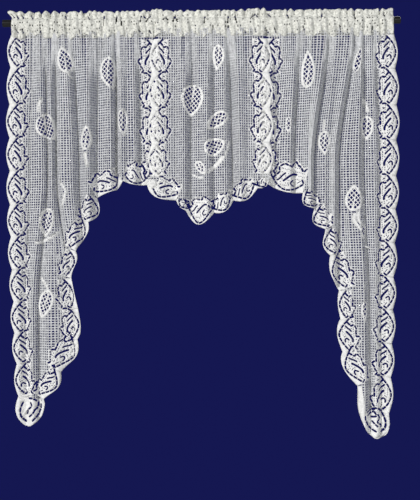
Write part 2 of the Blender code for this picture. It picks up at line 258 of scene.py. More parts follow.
# Leaf motifs: tip, base, width and how far the midrib bends sideways
LEFT_LEAVES = [
    ((132, -52), (149, -114), 38, -1), ((248, -153), (239, -77), 38, 7), ((116, -264), (89, -204), 46, 7),
    ((189, -229), (184, -287), 28, 0), ((272, -259), (269, -194), 27, 2), ((91, -483), (101, -415), 36, 1),
    ((80, -665), (100, -600), 36, 0),
]
INSERT_LEAVES = [
    ((422, -215), (428, -141), 50, 0), ((480, -112), (484, -53), 28, -3), ((456, -244), (505, -208), 34, 3),
    ((500, -271), (453, -295), 41, -3), ((453, -346), (433, -314), 20, 0),
]
RIGHT_LEAVES = [
    ((685, -66), (682, -153), 33, 3), ((805, -57), (791, -118), 17, 1), ((815, -272), (816, -214), 30, -2),
    ((722, -304), (723, -248), 30, 2), ((640, -255), (641, -217), 14, 0), ((786, -369), (785, -429), 40, 1),
    ((808, -495), (808, -454), 15, 1), ((808, -679), (809, -630), 15, 1),
]
LEAF_BAND = 6.0  # width of a leaf's rim, or less on a narrow leaf
LEAF_BAND_SHARE = 0.2
LEAF_WIDEST = 0.6  # from the tip
LEAF_FULLNESS = 0.85  # lower is rounder towards the tip
LEAF_STEPS = 16
LATTICE_PITCH = 7.0
LATTICE_WIDTH = 1.6
LATTICE_ANGLES = (38.0, -46.0)
LATTICE_LAP = 1.6  # of its threads on the rim
RIB_WIDTHS = (1.6, 3.0)
RIB_FROM_WIDTH = 18.0  # a narrower leaf has no rib

# Stems: width at the start and at the end, then the line
LEFT_STEMS = [
    (5.44, 3.52, [(141, -105), (148, -116), (157, -126)]),
    (8.0, 9.6, [(80, -203), (81, -185), (88, -167)]),
    (10.4, 8.0, [(184, -290), (185, -305), (190, -326)]),
    (6.4, 7.2, [(124, -356), (139, -375), (137, -391), (129, -416)]),
    (8.0, 8.96, [(69, -496), (93, -488), (125, -470)]),
    (7.2, 5.76, [(98, -600), (90, -585), (80, -571)]),
]
INSERT_STEMS = [
    (5.76, 5.76, [(455, -344), (482, -322), (500, -298), (508, -268)]),
    (4.8, 4.16, [(459, -334), (476, -322), (492, -303)]),
    (4.8, 4.16, [(423, -344), (436, -350), (449, -352)]),
]
RIGHT_STEMS = [
    (8.0, 6.4, [(690, -66), (694, -43)]),
    (8.8, 8.0, [(808, -175), (815, -190), (820, -208)]),
    (9.6, 8.0, [(722, -224), (719, -249)]),
    (4.8, 4.8, [(661, -185), (642, -198)]),
    (8.0, 7.2, [(788, -433), (786, -451), (801, -472)]),
    (6.4, 6.4, [(795, -430), (797, -452), (808, -462)]),
    (5.76, 4.8, [(808, -507), (824, -514)]),
    (4.8, 4.8, [(811, -589), (805, -612)]),
]

# Dark strokes in the heading: openings of the border's pattern and deep pinches
HEADING_STROKES = [
    [(335, 16), (323, -2)], [(317, 14), (324, 6)], [(305, -20), (317, -28)], [(330, -20), (335, -28)],
    [(346, -17), (356, -20)], [(361, 1), (367, 9)], [(367, 9), (374, 1)], [(384, -3), (387, 12)],
    [(387, 12), (395, -4)], [(508, 11), (506, -5)], [(522, 11), (527, -7)], [(558, 6), (568, 14)],
    [(570, 14), (574, 6)], [(545, -25), (551, -32)], [(566, -19), (571, -29)], [(591, -21), (599, -27)],
    [(610, -18), (615, -27)], [(596, 15), (605, 7)], [(229, 13), (228, -10)], [(258, 15), (256, -6)],
    [(267, 12), (268, -10)], [(455, 11), (454, -5)], [(473, -14), (472, -30)], [(508, -12), (509, -35)],
    [(25, 17), (29, 10)], [(34, 15), (39, 7)], [(46, 17), (49, 8)], [(66, 16), (70, 7)],
    [(30, -12), (36, -22)], [(45, -14), (49, -27)], [(141, 17), (146, 5)], [(192, 14), (198, 4)],
    [(174, -17), (177, -31)], [(201, -20), (213, -31)], [(297, -22), (301, -36)], [(312, 13), (311, -3)],
    [(86, -18), (90, -33)], [(118, -16), (117, -30)], [(640, 14), (643, 2)], [(676, -14), (679, -30)],
    [(718, 15), (716, 3)], [(757, -12), (760, -28)], [(790, 13), (792, 1)], [(830, -15), (828, -31)],
    [(855, 15), (859, 5)],
]
STROKE_WIDTHS = (5.4, 4.6)  # at the start and at the end

# Taller places of the header's top edge: x, half-width and height
HEADER_BUMPS = {
    "left_swag": [(20, 18, 3.0), (345, 18, 2.5)],
    "centre_insert": [(350, 14, 3.5), (575, 24, 4.0)],
    "right_swag": [(596, 12, -2.5), (873, 8, 2.0)],
}


def smooth(t):
    """0 to 1 with a soft start and a soft end."""
    t = np.clip(t, 0.0, 1.0)
    return t * t * (3.0 - 2.0 * t)


def small_gathers(x, z):
    """-1 to 1 across the cloth: uneven gathers, finer than the folds."""
    place = x + 0.02 * z
    uneven = 1.6 * np.sin(place / 11.3) + 1.1 * np.sin(place / 29.0 + 1.0)
    size = 0.72 + 0.28 * np.sin(place / 17.0 + 2.0)
    return size * np.sin(2.0 * math.pi * place / GATHER_PITCH + uneven)


def puffs(x, pinches):
    """-1 at each pinch of the heading and 1 between two of them."""
    p = np.array(pinches, float)
    last = np.clip(np.searchsorted(p, x) - 1, 0, len(p) - 2)
    part = np.clip((x - p[last]) / (p[last + 1] - p[last]), 0.0, 1.0)
    nearest = last + (part > 0.5)
    strength = 0.62 + 0.38 * np.sin(2.4 * nearest + 0.2 * p[nearest])
    return 1.0 - 2.0 * strength * (1.0 - np.sin(math.pi * part) ** 0.6)


def crumple(x, z):
    """Small waves of a cloth that has been folded and hung again."""
    return (
        0.5 * np.sin(x / 9.0 + z / 21.0)
        + 0.45 * np.sin(x / 14.0 - z / 33.0 + 1.3)
        + 0.35 * np.sin(x / 31.0 + z / 17.0 + 0.4)
    )


class Hanging:
    """The folded surface that a cloth's yarn lies on."""

    def __init__(self, folds, plane, pinches):
        self.folds = np.array(folds, float)
        self.plane = np.array(plane)
        self.pinches = pinches
        depths = self.folds[:, 3]
        self.creases = [
            i for i in range(1, len(depths) - 1)
            if depths[i] < CREASE_LEAST and depths[i] < depths[i - 1] and depths[i] < depths[i + 1]
        ]

    def along(self, row, z):
        """A value at a height, blended from the rod to the foot of the swag and on to the tail."""
        at_rod, at_drop, at_tail = row[..., 0], row[..., 1], row[..., 2]
        low = np.minimum(z, 0.0)
        to_drop = smooth(low / DROP_Z)
        to_tail = smooth((low - DROP_Z) / (TAIL_Z - DROP_Z))
        return at_rod + (at_drop - at_rod) * to_drop + (at_tail - at_drop) * to_tail

    def fold_place(self, x, z):
        """The fold that x lies on, counted from the left, with the part of the way to the next one."""
        place = np.zeros(np.broadcast(x, z).shape)
        for near, far in zip(self.folds, self.folds[1:]):
            start = self.along(near, z)
            place = place + np.clip((x - start) / (self.along(far, z) - start), 0.0, 1.0)
        return place

    def fold_x(self, place, z):
        """x of a place among the folds, at a height."""
        first = np.minimum(place.astype(int), len(self.folds) - 2)
        start = self.along(self.folds[first], z)
        return start + (self.along(self.folds[first + 1], z) - start) * (place - first)

    def between(self, x, z, values):
        """A value for each fold, blended across the cloth."""
        place = self.fold_place(x, z)
        first = np.minimum(place.astype(int), len(values) - 2)
        part = place - first
        blend = 0.5 - 0.5 * np.cos(math.pi * part)
        return values[first] + (values[first + 1] - values[first]) * blend

    def gather(self, x, z):
        """-1 to 1: the gathers at the heading."""
        return 0.72 * puffs(x, self.pinches) + 0.28 * small_gathers(x, z)

    def depth(self, x, z):
        """How far the cloth stands out: its middle plane, gathers, folds, crumples and creases."""
        opened = smooth((z - POCKET_SEAM_Z) / (FOLDS_OPEN_Z - POCKET_SEAM_Z))
        fading = 1.0 - smooth((z - POCKET_SEAM_Z) / (GATHER_FADE_Z - POCKET_SEAM_Z))
        gathered = HEADING_GATHER * self.gather(x, z) * (0.08 + 0.92 * fading)
        folds = self.between(x, z, self.folds[:, 3]) * (0.12 + 0.88 * opened)
        middle = self.along(self.plane, z)
        drawn = np.zeros(np.broadcast(x, z).shape)
        for i in self.creases:
            away = (x - self.along(self.folds[i], z)) / CREASE_WIDTH
            drawn -= CREASE_DEPTH * min(1.0, -self.folds[i, 3] / 10.0) * np.exp(-away * away)
        return middle + gathered + folds + crumple(x, z) * opened + drawn * (0.35 + 0.65 * opened)

    def points(self, x, z):
        return np.stack([x, -self.depth(x, z), z], axis=-1)

    def normals(self, x, z):
        """Directions straight out of the cloth, from its slope over one millimetre."""
        across = self.depth(x + 0.5, z) - self.depth(x - 0.5, z)
        along = self.depth(x, z + 0.5) - self.depth(x, z - 0.5)
        normal = np.stack([-across, -np.ones_like(across), -along], axis=-1)
        return normal / np.linalg.norm(normal, axis=-1, keepdims=True)


# Outlines, in the plane of the rod

def lobe(t, bulge, peak):
    """How far a scallop stands out of the line between its notches, t of the way along it."""
    return bulge * math.sin(math.pi * min(max(t, 0.0), 1.0) ** (math.log(0.5) / math.log(peak)))


class Unit:
    """One scallop of an edge with its piece of the border."""

    def __init__(self, start, end, bulge, peak, side, reach, upward, span=(0.0, 1.0)):
        self.start, self.end = np.array(start, float), np.array(end, float)
        self.span = span
        self.bulge, self.peak, self.side = bulge, peak, side
        self.reach, self.upward = reach, upward
        run = self.end - self.start
        self.length = math.hypot(run[0], run[1])
        self.out = side * np.array([run[1], -run[0]]) / self.length
        self.size = min(max(self.length / UNIT_LENGTH, UNIT_SIZES[0]), UNIT_SIZES[1])

    def lobe(self, t):
        return lobe(self.span[0] + (self.span[1] - self.span[0]) * t, self.bulge, self.peak)

    def outline(self, steps=12):
        """The rim, from just after the start to the end."""
        points = []
        for step in range(1, steps + 1):
            t = step / steps
            points.append(tuple(self.start + (self.end - self.start) * t + self.out * self.lobe(t)))
        return points

    def place(self, t, n):
        """A point of the unit's pattern. Near the rim it follows the lobe."""
        t = 1.0 - t if self.upward else t
        follow = min(max(1.0 - n / FOLLOW_DEPTH, 0.0), 1.0)
        shift = self.lobe(t) - UNIT_BULGE * self.size * math.sin(math.pi * min(max(t, 0), 1))
        more = self.reach - 1.0 if self.reach > 0 else 0.0
        n = n * self.size * (1.0 + more * min(n / PATTERN_DEPTH, 1.0))
        point = self.start + (self.end - self.start) * t - self.out * n + self.out * shift * follow
        return (point[0], point[1])

    def line(self, points):
        return [self.place(t, n) for t, n in points]

    def halves(self):
        """A long scallop holds two units of the pattern."""
        if self.length < LONG_SCALLOP:
            return [self]
        middle = (self.start + self.end) / 2.0
        shape = (self.bulge, self.peak, self.side, self.reach, self.upward)
        return [
            Unit(self.start, middle, *shape, span=(0.0, 0.5)),
            Unit(middle, self.end, *shape, span=(0.5, 1.0)),
        ]


def edge_units(notches, side):
    """The scallops of a straight edge, from the top down. side is 1 on the left and -1 on the right."""
    return [Unit(start, end, EDGE_BULGE, 0.5, side, 1.0, False) for start, end in zip(notches, notches[1:])]


def lower_units(start, rows, upward):
    """The scallops of a lower edge, from the left."""
    units = []
    for x, z, bulge, peak, reach in rows:
        units.append(Unit(start, (x, z), bulge, peak, 1.0, reach, upward))
        start = (x, z)
    return units


def chain(units):
    """The rim along some scallops."""
    points = [tuple(units[0].start)]
    for unit in units:
        points += unit.outline()
    return points


# Flat shapes

def turned_left(polygon):
    """The polygon with its corners anticlockwise."""
    p = np.array(polygon, float)
    q = np.roll(p, -1, axis=0)
    area = (p[:, 0] * q[:, 1] - q[:, 0] * p[:, 1]).sum()
    return [tuple(c) for c in (p if area > 0 else p[::-1])]


def inside(polygon, x, z):
    """True for the points that lie in the polygon."""
    p = np.array(polygon, float)
    found = np.zeros(x.shape, bool)
    near = (x >= p[:, 0].min()) & (x <= p[:, 0].max()) & (z >= p[:, 1].min()) & (z <= p[:, 1].max())
    px, pz = x[near], z[near]
    odd = np.zeros(px.shape, bool)
    for (ax, az), (bx, bz) in zip(p, np.roll(p, -1, axis=0)):
        if az != bz:
            crossing = (az > pz) != (bz > pz)
            odd ^= crossing & (px < (bx - ax) * (pz - az) / (bz - az) + ax)
    found[near] = odd
    return found


def rounded(points, steps=4):
    """A smooth line through the points."""
    p = [np.array(c, float) for c in points]
    if len(p) < 3:
        return [tuple(c) for c in p]
    p = [2 * p[0] - p[1]] + p + [2 * p[-1] - p[-2]]
    line = []
    for a, b, c, d in zip(p, p[1:], p[2:], p[3:]):
        for step in range(steps):
            t = step / steps
            square, cube = 2 * a - 5 * b + 4 * c - d, 3 * b - a - 3 * c + d
            line.append(tuple(0.5 * (2 * b + (c - a) * t + square * t ** 2 + cube * t ** 3)))
    line.append(tuple(p[-2]))
    return line


def lengths_along(points):
    """How far along a line each of its points lies."""
    return np.concatenate([[0.0], np.cumsum(np.hypot(*np.diff(points, axis=0).T))])


def points_at(line, at):
    """The points of a line at some lengths along it."""
    p = np.array(line, float)
    lengths = lengths_along(p)
    return np.stack([np.interp(at, lengths, p[:, 0]), np.interp(at, lengths, p[:, 1])], axis=-1)


def part_of_line(line, start, end):
    """The points of a line between two lengths along it."""
    return points_at(line, [start] + [s for s in lengths_along(line) if start + 0.4 < s < end - 0.4] + [end])


def ribbon(line, width, end_width=None, taper=0.6):
    """A band along a line, narrower at its two ends."""
    p = np.array(line, float)
    end_width = width if end_width is None else end_width
    along = np.gradient(p, axis=0)
    along /= np.maximum(np.linalg.norm(along, axis=1, keepdims=True), 1e-9)
    side = np.stack([-along[:, 1], along[:, 0]], axis=-1)
    t = np.linspace(0.0, 1.0, len(p))
    half = (width + (end_width - width) * t) / 2.0
    half[0] *= taper
    half[-1] *= taper
    left, right = p + side * half[:, None], p - side * half[:, None]
    return turned_left(np.concatenate([left, right[::-1]]))


def dashed(line, width, dash=DASH):
    """A slit that short threads bridge."""
    length = lengths_along(line)[-1]
    count = max(1, round((length + DASH_GAP) / (dash + DASH_GAP)))
    step = (length + DASH_GAP) / count
    return [
        ribbon(part_of_line(line, i * step, i * step + step - DASH_GAP), width, taper=DASH_TAPER)
        for i in range(count)
    ]


def disc(centre, radius, sides=8):
    """A small round hole."""
    angles = [2 * math.pi * k / sides for k in range(sides)]
    return [(centre[0] + radius * math.cos(a), centre[1] + radius * math.sin(a)) for a in angles]


def spaced(line, step):
    """Points at even steps along a line."""
    return points_at(line, np.arange(0.0, lengths_along(line)[-1], step))


def slits(unit):
    """The dark lines that draw the border's pattern."""
    holes = []
    for width, steps, points in OUTLINE_SLITS:
        holes += dashed(rounded(unit.line(points), steps), width)
    for width, points in BOLD_SLITS:
        holes.append(ribbon(rounded(unit.line(points)), width * unit.size, taper=0.5))
    holes.append(disc(unit.place(*EYE_HOLE), EYE_RADIUS * unit.size))
    return holes


def ground(unit, shape):
    """Small holes in the cloth between the slits, away from every outline."""
    lines = [RIM_SLIT, UPPER_SLIT, NET_SLIT] + [points for width, points in BOLD_SLITS]
    keep_off = np.concatenate([spaced(rounded(unit.line(points)), 1.2) for points in lines])
    rim = spaced(shape + shape[:1], 1.2)
    rim_t, rim_n = np.array(RIM_SLIT).T
    count = max(4, round(unit.length / GROUND_PITCH))
    holes = []
    for row in range(GROUND_ROWS):
        for column in range(count):
            t = (column + 0.5 * (row % 2) + RANDOM.uniform(0.0, 0.35)) / count
            n = GROUND_START + GROUND_PITCH * row + RANDOM.uniform(-0.5, 0.5)
            if n < np.interp(t, rim_t, rim_n) + GROUND_START or not GROUND_SPAN[0] < t < GROUND_SPAN[1]:
                continue
            centre = np.array(unit.place(t, n))
            to_slit = np.hypot(*(keep_off - centre).T).min()
            to_rim = np.hypot(*(rim - centre).T).min()
            if to_slit > GROUND_CLEAR and to_rim > GROUND_CLEAR and inside(shape, *centre[:, None])[0]:
                holes.append(disc(centre, RANDOM.uniform(0.8, 1.1) * GROUND_HOLE, 5))
    return holes


def border_work(units):
    """(solid shapes, holes) of the border along some scallops."""
    solids, holes = [], []
    for whole in units:
        rim = [tuple(whole.start)] + whole.outline()
        if whole.reach <= 0:
            deep = PATTERN_DEPTH if whole.reach == 0 else RIM_DEPTH
            inner = whole.line([(0.0, deep), (0.5, deep), (1.0, deep)])
            inner = inner if whole.upward else inner[::-1]
            solids.append(turned_left(rim + inner))
            continue
        for unit in whole.halves():
            inner = unit.line(UNIT_INNER_EDGE)
            inner = inner if unit.upward else inner[::-1]
            rim = [tuple(unit.start + unit.out * unit.lobe(0.0))] + unit.outline()
            shape = turned_left(rim + inner)
            solids.append(shape)
            holes += slits(unit)
            holes += ground(unit, shape)
    return solids, holes


def leaf_axes(tip, base):
    """(tip, direction of the midrib, direction to the side, length) of a leaf."""
    tip = np.array(tip, float)
    axis = np.array(base, float) - tip
    length = math.hypot(axis[0], axis[1])
    axis /= length
    return tip, axis, np.array([-axis[1], axis[0]]), length


def leaf_shape(tip, base, width, bend, inset):
    """A leaf with a pointed tip, drawn in from its outline by inset."""
    tip, axis, side, length = leaf_axes(tip, base)
    first = 1.6 * inset / length
    last = 1.0 - 0.95 * inset / length
    left, right = [], []
    for step in range(LEAF_STEPS + 1):
        s = first + (last - first) * step / LEAF_STEPS
        if s < LEAF_WIDEST:
            full = width / 2.0 * math.sin(math.pi / 2.0 * s / LEAF_WIDEST) ** LEAF_FULLNESS
        else:
            beyond = (s - LEAF_WIDEST) / (1.0 - LEAF_WIDEST)
            full = width / 2.0 * math.sqrt(max(1.0 - beyond ** 2, 0.0))
        half = full - inset if inset else full
        middle = tip + axis * length * s + side * bend * 4.0 * s * (1.0 - s)
        left.append(tuple(middle + side * max(half, 0.05)))
        right.append(tuple(middle - side * max(half, 0.05)))
    return turned_left(left + right[::-1])


def leaf_work(tip, base, width, bend):
    """(outer shape, opening, threads over the opening) of a leaf."""
    band = min(LEAF_BAND, LEAF_BAND_SHARE * width)
    outer = leaf_shape(tip, base, width, bend, 0.0)
    opening = leaf_shape(tip, base, width, bend, band)
    middle = (np.array(tip, float) + np.array(base, float)) / 2.0
    tip, axis, side, length = leaf_axes(tip, base)
    threads = []
    for angle in LATTICE_ANGLES:
        turn = math.radians(angle)
        along = axis * math.cos(turn) + side * math.sin(turn)
        across = np.array([-along[1], along[0]])
        reach = length * 0.62
        most = int(reach / LATTICE_PITCH)
        for number in range(-most, most + 1):
            centre = middle + across * number * LATTICE_PITCH
            s = np.linspace(-reach, reach, 80)
            x, z = centre[0] + along[0] * s, centre[1] + along[1] * s
            within = s[inside(opening, x, z)]
            if len(within) > 3:
                ends = [centre + along * s for s in (within[0] - LATTICE_LAP, within[-1] + LATTICE_LAP)]
                threads.append(ribbon(ends, LATTICE_WIDTH, taper=1.0))
    rib = []
    for s in np.linspace(0.34, 0.97, 7):
        aside = bend * 4.0 * s * (1.0 - s) + 0.06 * width * math.sin(5.0 * s)
        rib.append(tuple(tip + axis * length * s + side * aside))
    if width > RIB_FROM_WIDTH:
        threads.append(ribbon(rib, *RIB_WIDTHS, taper=0.9))
    return outer, opening, threads


# Meshes

def rim_edges(faces):
    """The edges that only one of the faces has."""
    sides = faces.shape[1]
    edges = np.concatenate([faces[:, [i, (i + 1) % sides]] for i in range(sides)])
    _, back, uses = np.unique(np.sort(edges, axis=1), axis=0, return_inverse=True, return_counts=True)
    return edges[uses[back.ravel()] == 1]


def plate(points, offset, faces, rim):
    """A closed plate: the faces in front, the same turned over behind, and walls along the rim."""
    count = len(points)
    walls = np.stack([rim[:, 1], rim[:, 0], rim[:, 0] + count, rim[:, 1] + count], axis=-1)
    faces = faces.tolist() + (faces[:, ::-1] + count).tolist() + walls.tolist()
    return np.concatenate([points + offset, points - offset]), faces


def solid_work(surface, outline, solids, holes, threads):
    """The border and the motifs as one padded plate with its holes."""
    shapes = [turned_left(outline)] + solids + holes + threads
    coordinates, loops = [], []
    for shape in shapes:
        loops.append(list(range(len(coordinates), len(coordinates) + len(shape))))
        coordinates += [Vector(c) for c in shape]
    low, high = np.min(outline, axis=0), np.max(outline, axis=0)
    gx, gz = np.meshgrid(*(np.arange(low[i], high[i], WORK_SPACING) for i in (0, 1)))
    gx = gx.ravel() + RANDOM.uniform(-1.0, 1.0, gx.size)
    gz = gz.ravel() + RANDOM.uniform(-1.0, 1.0, gz.size)
    wanted = np.zeros(gx.shape, bool)
    for shape in solids:
        wanted |= inside(shape, gx, gz)
    for shape in holes:
        wanted &= ~inside(shape, gx, gz)
    wanted &= inside(outline, gx, gz)
    coordinates += [Vector((x, z)) for x, z in zip(gx[wanted], gz[wanted])]
    made = delaunay_2d_cdt(coordinates, [], loops, 0, 0.02)
    places = np.array([tuple(v) for v in made[0]])
    first_hole = 1 + len(solids)
    first_thread = first_hole + len(holes)
    kept = []
    for face, owners in zip(made[2], made[5]):
        in_outline = 0 in owners
        in_solid = any(1 <= o < first_hole for o in owners)
        in_hole = any(first_hole <= o < first_thread for o in owners)
        in_thread = any(o >= first_thread for o in owners)
        if in_outline and (in_thread or (in_solid and not in_hole)):
            kept.append(face)
    used, kept = np.unique(np.array(kept), return_inverse=True)
    kept = kept.reshape(-1, 3)
    x, z = places[used, 0], places[used, 1]
    rim = rim_edges(kept)
    at_rim = np.zeros(len(x), bool)
    at_rim[rim.ravel()] = True
    half = np.where(at_rim, WORK_EDGE, WORK_THICKNESS) / 2.0
    return plate(surface.points(x, z), surface.normals(x, z) * half[:, None], kept, rim)


def net_nodes(surface, lowest):
    """x and z of every crossing of the net, and which pillars are extra ones.

    The pillars run along the folds. Where a fold widens much in the tail, extra ones fill in there.
    """
    rows = np.arange(NET_TOP_Z, lowest, -BAR_PITCH)
    places, extra = [], []
    for first in range(len(surface.folds) - 1):
        place = first + np.linspace(0.0, 1.0, 41)
        arcs = []
        for level in NET_LEVELS:
            heights = np.full_like(place, level)
            x = surface.fold_x(place, heights)
            run = np.hypot(np.diff(x), np.diff(surface.depth(x, heights)))
            arcs.append(np.concatenate([[0.0], np.cumsum(run)]))
        arcs = np.array(arcs)
        mean = arcs.mean(axis=0)
        count = max(1, round(max(mean[-1], arcs[0, -1], arcs[1, -1]) / PILLAR_PITCH))
        added = arcs[:, -1].max() > WIDE_GAP * PILLAR_PITCH * count
        total = 2 * count if added else count
        places.append(np.interp(np.arange(total) * mean[-1] / total, mean, place))
        extra.append((np.arange(total) % 2 == 1) & added)
    x = surface.fold_x(np.concatenate(places)[:, None], rows[None, :])
    return x, np.broadcast_to(rows, x.shape).copy(), np.concatenate(extra)


def tube_grid(points, side, out, width, height, linked, axis):
    """Three-sided threads through a grid of points, wherever linked says that two neighbours join."""
    shape = points.shape[:2]
    corners = np.stack([
        points + side * width[..., None] / 2.0,
        points + out * height / 2.0,
        points - side * width[..., None] / 2.0,
    ], axis=2)
    index = np.arange(shape[0] * shape[1]).reshape(shape)
    if axis == 0:
        start, end = index[:-1][linked], index[1:][linked]
    else:
        start, end = index[:, :-1][linked], index[:, 1:][linked]
    faces = []
    for k in range(3):
        n = (k + 1) % 3
        faces.append(np.stack([start * 3 + k, start * 3 + n, end * 3 + n, end * 3 + k], axis=-1))
    starts = np.setdiff1d(start, end)[:, None] * 3 + [2, 1, 0]
    stops = np.setdiff1d(end, start)[:, None] * 3 + [0, 1, 2]
    return corners.reshape(-1, 3), np.concatenate(faces), np.concatenate([starts, stops])


def net_work(surface, outline, blocked, ends):
    """The square net inside the outline, left out under the solid work and beside the heading's ends."""
    low = np.min(outline, axis=0)
    x, z, extra = net_nodes(surface, low[1])
    x = x + RANDOM.normal(0.0, NET_WANDER, x.shape)
    z = z + RANDOM.normal(0.0, NET_WANDER, z.shape)
    open_net = inside(outline, x, z)
    for shape in blocked:
        open_net &= ~inside(shape, x, z)
    open_net &= (z < POCKET_SEAM_Z - 2.0) | ((x > ends[0] + NET_INSET) & (x < ends[1] - NET_INSET))
    points, out = surface.points(x, z), surface.normals(x, z)
    apart = np.linalg.norm(points[2:] - points[:-2], axis=-1)
    there = np.ones(x.shape, bool)
    there[1:-1] = ~extra[1:-1, None] | (apart > WIDE_GAP * PILLAR_PITCH)
    parts, faces, caps, first = [], [], [], 0
    for axis, width, wobble in ((1, PILLAR_WIDTH, 0.12), (0, BAR_WIDTH, 0.14)):
        along = np.gradient(points, axis=axis)
        along /= np.maximum(np.linalg.norm(along, axis=-1, keepdims=True), 1e-9)
        side = np.cross(along, out)
        widths = width * (1.0 + RANDOM.normal(0.0, wobble, x.shape))
        if axis == 1:
            linked = (open_net[:, :-1] | open_net[:, 1:]) & there[:, :-1] & there[:, 1:]
        else:
            linked = open_net[:-1] | open_net[1:]
        made, quads, closed = tube_grid(points, side, out, widths, NET_THICKNESS, linked, axis)
        parts.append(made)
        faces.append(quads + first)
        caps.append(closed + first)
        first += len(made)
    points, faces = np.concatenate(parts), np.concatenate(faces)
    used, numbers = np.unique(faces, return_inverse=True)
    caps = np.searchsorted(used, np.concatenate(caps))
    return points[used], numbers.reshape(-1, 4).tolist() + caps.tolist()


def header_rise(name, x):
    """How much higher than elsewhere the header's top edge is."""
    rise = np.zeros_like(x)
    for centre, half, height in HEADER_BUMPS[name]:
        rise += height * np.exp(-((x - centre) / half) ** 2)
    return rise


def heading_profile(name, surface, x):
    """Knots of the heading's section at each x: depth and z, from the pocket seam over the top and back."""
    wave = surface.gather(x, 0.0 * x)
    shift = HEADING_GATHER * wave
    front = WRAP_RADIUS + HEADING_GATHER * (1.0 + wave) / 2.0
    back = WRAP_RADIUS + HEADING_GATHER * (1.0 - wave) / 2.0
    ripple = HEADER_RIPPLE * wave - 1.0 + header_rise(name, x)
    uneven = 3.5 + 4.0 * np.sin(x / 9.3 + np.sin(x / 23.0)) + 2.6 * np.sin(x / 4.3 + 1.0)
    hem = surface.depth(x, 0.0 * x + POCKET_SEAM_Z)
    flat = np.zeros_like(x)
    knots = []
    for z, part in ((POCKET_SEAM_Z, 0.0), (-24.0, 0.38), (-12.0, 0.78), (0.0, 1.0)):
        knots.append((hem + (front - hem) * part, z + uneven * (1.0 - part)))
    for degrees in (32.0, 64.0):
        angle = math.radians(degrees)
        knots.append((front * math.cos(angle), flat + WRAP_RADIUS * math.sin(angle)))
    knots.append((LAYER_GAP + shift, flat + HEADER_SEAM_Z))
    knots.append((LAYER_GAP + shift, HEADER_SHOULDER_Z + ripple))
    knots.append((shift, HEADER_TOP_Z + ripple))
    knots.append((shift - LAYER_GAP, HEADER_SHOULDER_Z + ripple))
    knots.append((shift - LAYER_GAP, flat + HEADER_SEAM_Z))
    for degrees in (116.0, 148.0, 180.0, 212.0):
        angle = math.radians(degrees)
        knots.append((back * math.cos(angle), flat + WRAP_RADIUS * math.sin(angle)))
    knots.append((surface.plane[0] + shift - 2.0 * LAYER_GAP, flat + POCKET_EDGE_Z))
    return np.array(knots)


def heading_work(name, surface, ends, flare, dark_lines):
    """The gathered header and rod pocket: a dense net with small holes, turned over to the back."""
    columns = round((ends[1] - ends[0]) / HEADING_CELL)
    u = np.array([c + f for c in range(columns) for f in HEADING_LINES] + [columns]) / columns
    v = np.array([r + f for r in range(HEADING_ROWS) for f in HEADING_LINES] + [HEADING_ROWS]) / HEADING_ROWS
    x = ends[0] + (ends[1] - ends[0]) * u
    knots = heading_profile(name, surface, x)
    lengths = lengths_along(knots[:, :, len(x) // 2])
    at = v * lengths[-1]
    depth = np.array([np.interp(at, lengths, knots[:, 0, i]) for i in range(len(x))])
    z = np.array([np.interp(at, lengths, knots[:, 1, i]) for i in range(len(x))])
    wide = x[:, None] + 0.0 * z
    depth = depth + 1.5 * np.sin(wide / 2.6 + z / 11.0) + 1.5 * np.sin(wide / 4.4 - z / 14.0 + 1.0)
    depth = depth + 0.6 * np.sin(wide / 7.9 + z / 5.0 + 2.0)
    lean = np.clip((z - HEADER_SEAM_Z) / (HEADER_TOP_Z - HEADER_SEAM_Z), 0.0, 1.0)
    near_left = np.clip(1.0 - u * 8.0, 0.0, 1.0)[:, None]
    place = x[:, None] - flare * lean * near_left
    points = np.stack([place, -depth, z], axis=-1)
    points += RANDOM.normal(0.0, 0.1, points.shape)
    across = np.gradient(points, axis=0)
    along = np.gradient(points, axis=1)
    normal = np.cross(across, along)
    normal /= np.maximum(np.linalg.norm(normal, axis=-1, keepdims=True), 1e-9)
    nu, nv = len(u), len(v)
    index = np.arange(nu * nv).reshape(nu, nv)
    hole = np.zeros((nu - 1, nv - 1), bool)
    hole[1::3, 1::3] = RANDOM.random((columns, HEADING_ROWS)) < HEADING_OPEN
    cell_x, cell_z = (wide[:-1, :-1] + wide[1:, 1:]) / 2.0, (z[:-1, :-1] + z[1:, 1:]) / 2.0
    for line in dark_lines:
        hole |= inside(line, cell_x, cell_z)
    solid = ~hole
    a, b, c, d = index[:-1, :-1], index[1:, :-1], index[1:, 1:], index[:-1, 1:]
    front = np.stack([a[solid], b[solid], c[solid], d[solid]], axis=-1)
    offset = normal.reshape(-1, 3) * HEADING_THICKNESS / 2.0
    return plate(points.reshape(-1, 3), offset, front, rim_edges(front))


# Materials

def set_inputs(node, values):
    """The node, with the values of some of its inputs."""
    for name, value in values.items():
        node.inputs[name].default_value = value
    return node


def new_material(name, values):
    """(material, its node tree, its shader with these values)."""
    made = bpy.data.materials.new(name)
    made.use_nodes = True
    return made, made.node_tree, set_inputs(made.node_tree.nodes["Principled BSDF"], values)


def new_node(tree, kind, values):
    return set_inputs(tree.nodes.new(kind), values)


